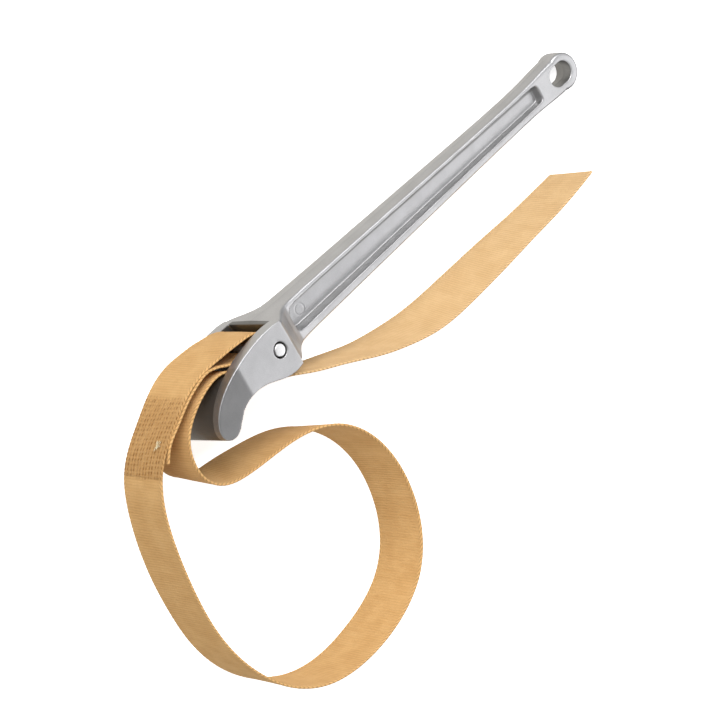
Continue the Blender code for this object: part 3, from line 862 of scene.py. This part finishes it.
def spline_through(knots, rows):
    """A function that gives the natural cubic curve through rows at many distances at once."""
    step = np.diff(knots)
    size = len(knots)
    matrix = np.eye(size)
    right = np.zeros_like(rows)
    for i in range(1, size - 1):
        matrix[i, i - 1 : i + 2] = (step[i - 1], 2 * (step[i - 1] + step[i]), step[i])
        slopes = (rows[i + 1] - rows[i]) / step[i] - (rows[i] - rows[i - 1]) / step[i - 1]
        right[i] = 6 * slopes
    bend = np.linalg.solve(matrix, right)

    def at(distances):
        i = np.clip(np.searchsorted(knots, distances) - 1, 0, size - 2)
        h = step[i][:, None]
        a = (knots[i + 1] - distances)[:, None] / h
        b = (distances - knots[i])[:, None] / h
        curve = (a**3 - a) * bend[i] + (b**3 - b) * bend[i + 1]
        return a * rows[i] + b * rows[i + 1] + curve * h * h / 6

    return at


class Strap:
    """The route of the strap, measured by distance along it."""

    def __init__(self, route):
        rows = np.array(route)
        self.knots = np.r_[0, np.cumsum(np.linalg.norm(np.diff(rows[:, :3], axis=0), axis=1))]
        self.at = spline_through(self.knots, rows)

    def distance(self, row):
        return float(np.interp(row, range(len(self.knots)), self.knots))

    def frames(self, s):
        """Middle points, directions from lower to upper edge, and directions through the cloth."""
        rows = self.at(s)
        ahead = self.at(np.minimum(s + 0.5, self.knots[-1]))
        behind = self.at(np.maximum(s - 0.5, 0.0))
        along = (ahead - behind)[:, :3]
        height = np.sqrt(STRAP_WIDTH**2 - rows[:, 3] ** 2 - rows[:, 4] ** 2)
        rise = np.stack([rows[:, 3], rows[:, 4], height], axis=1) / STRAP_WIDTH
        outward = np.cross(along, rise)
        outward /= np.linalg.norm(outward, axis=1)[:, None]
        return rows[:, :3], rise, outward


STRAP = Strap(ROUTE)
STITCH_SPAN = (STRAP.distance(STITCH_FROM), STRAP.distance(STITCH_TO) - 2.0)
STITCH_PLACES = [(row - (STITCH_ROWS - 1) / 2) * STITCH_ROW_PITCH for row in range(STITCH_ROWS)]


def surface_offset(s, a):
    """How far the webbing's face stands from its middle, at distance s along and a across."""
    edge = STRAP_WIDTH / 2
    wobble = 0.12 * np.sin(s * 0.31 + a * 0.11) + 0.1 * np.sin(s * 0.083 - a * 0.23)
    rib = np.abs(np.sin(math.pi * (s + wobble) / RIB_PITCH)) ** 0.75
    to_edge = edge - np.abs(a)
    selvedge = np.clip((SELVEDGE_WIDTH - to_edge) / 0.7, 0.0, 1.0)
    dash = np.abs(np.sin(math.pi * (s / SELVEDGE_PITCH + to_edge / SELVEDGE_SLANT))) ** 0.6
    ridge = STRAP_HALF_THICKNESS + RIB_HEIGHT * rib * (1 + 0.12 * np.sin(s * 0.77))
    braid = STRAP_HALF_THICKNESS + 0.1 + SELVEDGE_HEIGHT * dash
    rounding = np.sqrt(np.clip(to_edge / 0.8, 0.0, 1.0))
    return (ridge * (1 - selvedge) + braid * selvedge) * (0.25 + 0.75 * rounding)


def nearest_line(a):
    """Distance from the nearest sewn line, of which there are two to a row."""
    half = STITCH_ROW_PITCH / 2
    return np.abs((a + half / 2 + half * 20) % half - half / 2)


def stitch_dents(s, a):
    """The sewn rows pull the outer layer of the lap in."""
    near = (s > STITCH_SPAN[0] - 2) & (s < STITCH_SPAN[1] + 2)
    near = near & (np.abs(a) < STITCH_ROWS * STITCH_ROW_PITCH / 2)
    dent = np.exp(-((nearest_line(a) / 0.8) ** 2))
    pull = 0.6 + 0.4 * np.cos(2 * math.pi * s / STITCH_LENGTH)
    return near * dent * pull * STITCH_DENT


def sewn_shade(s, a):
    """How much darker the webbing is: in the sewn stretch, and most of all along its rows."""
    into = s - STITCH_SPAN[0] + 3
    inside = np.clip(into / 4, 0, 1) * np.clip((STITCH_SPAN[1] + 3 - s) / 3, 0, 1)
    soaked = 0.05 + 0.18 * np.clip(into / 22, 0, 1)
    half = STITCH_ROW_PITCH / 2
    line = np.round((a - half / 2) / half)
    strength = 0.7 + 0.3 * np.cos(math.pi * line)
    rows = strength * np.exp(-((nearest_line(a) / 0.95) ** 2))
    phase = 3.0 * np.sin(12.9 * line)
    dashes = (0.5 + 0.5 * np.cos(2 * math.pi * s / STITCH_LENGTH + phase)) ** 0.9
    uneven = 0.7 + 0.45 * np.sin(s * 0.37 + a * 1.3) * np.sin(s * 0.11 - a * 0.7)
    return np.clip(inside * (soaked + rows * (0.16 + dashes) * uneven), 0, 1)


def webbing(name, first, last, material, fine=False):
    """One stretch of webbing with its ribs and its oversewn edges."""
    pieces = int((last - first) / RIB_PITCH * 6)
    s = np.linspace(first, last, pieces + 1)
    edge = STRAP_WIDTH / 2
    rim = [edge - step for step in (0.06, 0.3, 0.65, 1.1, 1.6, 2.1, 2.7)]
    inner = np.arange(-19.25, 19.3, 0.7) if fine else np.linspace(-19.0, 19.0, 7)
    across = np.array([-r for r in rim] + list(inner) + rim[::-1])
    middle, rise, outward = STRAP.frames(s)
    rings = []
    for side in (-1, 1):
        order = across if side < 0 else across[::-1]
        grid_s, grid_a = np.meshgrid(s, order, indexing="ij")
        out = surface_offset(grid_s, grid_a)
        if fine and side > 0:
            out = out - stitch_dents(grid_s, grid_a)
        shift = 0.12 * np.sin(grid_s * 0.045) * np.cos(grid_a * 0.09)
        points = middle[:, None] + rise[:, None] * grid_a[..., None]
        points = points + outward[:, None] * (side * out + shift)[..., None]
        rings.append((points, grid_s, grid_a))
    points = np.concatenate([rings[0][0], rings[1][0]], axis=1)
    place_s = np.concatenate([rings[0][1], rings[1][1]], axis=1)
    place_a = np.concatenate([rings[0][2], rings[1][2]], axis=1)
    return webbing_object(name, points, place_s, place_a, material, fine)


def webbing_object(name, points, place_s, place_a, material, sewn):
    rows, count = place_s.shape
    index = np.arange(rows * count).reshape(rows, count)
    near, far = index[:-1], index[1:]
    turn = np.roll(near, -1, axis=1), np.roll(far, -1, axis=1)
    quads = np.stack([near, far, turn[1], turn[0]], axis=-1).reshape(-1, 4)
    faces = quads.tolist() + [index[0].tolist(), index[-1][::-1].tolist()]
    mesh = bpy.data.meshes.new(name)
    world = points.reshape(-1, 3) * MM + np.array(PIN)
    mesh.from_pydata(world.tolist(), [], faces)
    corner = np.empty(len(mesh.loops), np.int32)
    mesh.loops.foreach_get("vertex_index", corner)
    uv = np.stack([place_s.ravel()[corner], place_a.ravel()[corner]], axis=1)
    layer = mesh.uv_layers.new(name="weave")
    layer.data.foreach_set("uv", uv.astype(np.float32).ravel())
    shade = mesh.attributes.new("sewn", "FLOAT", "POINT")
    outer_half = np.arange(count) >= count // 2
    values = sewn_shade(place_s, place_a) * outer_half * sewn
    shade.data.foreach_set("value", values.astype(np.float32).ravel())
    mesh.shade_smooth()
    mesh.set_sharp_from_angle(angle=math.radians(75))
    mesh.materials.append(material)
    return add_object(name, mesh)


def tube_rings(points, radius, sides=8):
    """Rings of a round thread along points. Its ends are drawn in."""
    points = np.asarray(points, float)
    along = np.gradient(points, axis=0)
    along /= np.linalg.norm(along, axis=1)[:, None]
    side = np.cross(along, (0.13, 0.29, 0.95))
    side /= np.linalg.norm(side, axis=1)[:, None]
    top = np.cross(side, along)
    rings = []
    for i, point in enumerate(points):
        r = radius * (0.35 if i in (0, len(points) - 1) else 1.0)
        angles = [2 * math.pi * k / sides for k in range(sides)]
        rings.append([point + r * (side[i] * math.cos(t) + top[i] * math.sin(t)) for t in angles])
    return rings


def stitch_row(number, material):
    """A thread that is sewn down the lap and back. It dips into the webbing between stitches."""
    down = np.arange(STITCH_SPAN[0], STITCH_SPAN[1], STITCH_LENGTH / 8)
    turn = np.full(5, down[-1])
    s = np.concatenate([down, turn, down[::-1]])
    beside = np.concatenate([
        np.full(len(down), -0.5), np.linspace(-0.5, 0.5, len(turn)), np.full(len(down), 0.5),
    ]) * STITCH_ROW_PITCH / 2
    middle, rise, outward = STRAP.frames(s)
    wave = np.abs(np.sin(math.pi * s / STITCH_LENGTH + 1.3 * number))
    lift = STRAP_HALF_THICKNESS - 0.16 + 0.4 * wave**0.6
    sway = STITCH_PLACES[number] + beside + 0.16 * np.sin(1.7 * s / STITCH_LENGTH + 3.0 * beside)
    points = middle + rise * sway[:, None] + outward * lift[:, None]
    mesh = loft("stitches_%d" % (number + 1), tube_rings(points, THREAD_RADIUS))
    mesh.transform(Matrix.Translation(PIN))
    mesh.shade_smooth()
    mesh.materials.append(material)
    row = add_object(mesh.name, mesh)
    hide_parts("stitch_row_%d" % (number + 1))
    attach(row, "strap")


def make_tuft():
    """Threads that have frayed out of the lap near its folded end."""
    root = STRAP.distance(TUFT_ROW)
    middle, rise, outward = (found[0] for found in STRAP.frames(np.array([root])))
    ahead = np.cross(outward, rise)
    meshes = []
    step = np.linspace(0, 1, 7)[:, None]
    for fibre in range(TUFT_FIBRES):
        turn = 2.4 * fibre
        start = middle + rise * (TUFT_ACROSS + 0.9 * math.cos(turn)) + ahead * 0.9 * math.sin(turn)
        lean = rise * (0.5 + 0.6 * math.cos(2.1 * turn)) + ahead * (0.9 * math.sin(1.7 * turn))
        rise_by = STRAP_HALF_THICKNESS - 0.3 + TUFT_HEIGHT * step**0.7
        reach = outward * rise_by + lean * (TUFT_SPREAD * step**1.4)
        meshes.append(loft("fibre", tube_rings(start + reach, TUFT_RADIUS, sides=5)))
    work = bmesh.new()
    for mesh in meshes:
        work.from_mesh(mesh)
        bpy.data.meshes.remove(mesh)
    tuft = bpy.data.meshes.new("frayed_tuft")
    work.to_mesh(tuft)
    work.free()
    tuft.transform(Matrix.Translation(PIN))
    tuft.shade_smooth()
    tuft.materials.append(thread_material("frayed_thread", (0.85, 0.76, 0.52)))
    made = add_object("frayed_tuft", tuft)
    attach(made, "strap")


def make_strap():
    loop_look = webbing_material("webbing", (0.655, 0.4, 0.165), (0.53, 0.29, 0.098))
    # the tail's webbing is a lighter, paler copy of the same webbing: painted light on the tail
    lit_tail_look = webbing_material("webbing_painted_lit", (0.7, 0.47, 0.235), (0.6, 0.37, 0.165))
    thread = thread_material("sewing_thread", (0.52, 0.3, 0.11))
    ends = {
        "eye": (0.0, STRAP.distance(LOOP_FROM)),
        "loop": (STRAP.distance(LOOP_FROM), STRAP.distance(HEAD_JOIN)),
        "tail": (STRAP.distance(HEAD_JOIN), STRAP.knots[-1]),
    }

    eye = webbing("webbing_eye", *ends["eye"], loop_look, fine=True)
    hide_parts("strap_eye", "strap_lap")
    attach(eye, "strap")

    loop = webbing("webbing_loop", *ends["loop"], loop_look)
    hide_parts("strap_loop")
    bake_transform(loop)

    tail = webbing("webbing_tail", *ends["tail"], lit_tail_look)
    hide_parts("strap_grip", "strap_tail")
    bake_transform(tail)

    for number in range(STITCH_ROWS):
        stitch_row(number, thread)
    make_tuft()


make_camera()
make_studio()
make_casting()
make_pin()
make_strap()
bpy.context.view_layer.update()
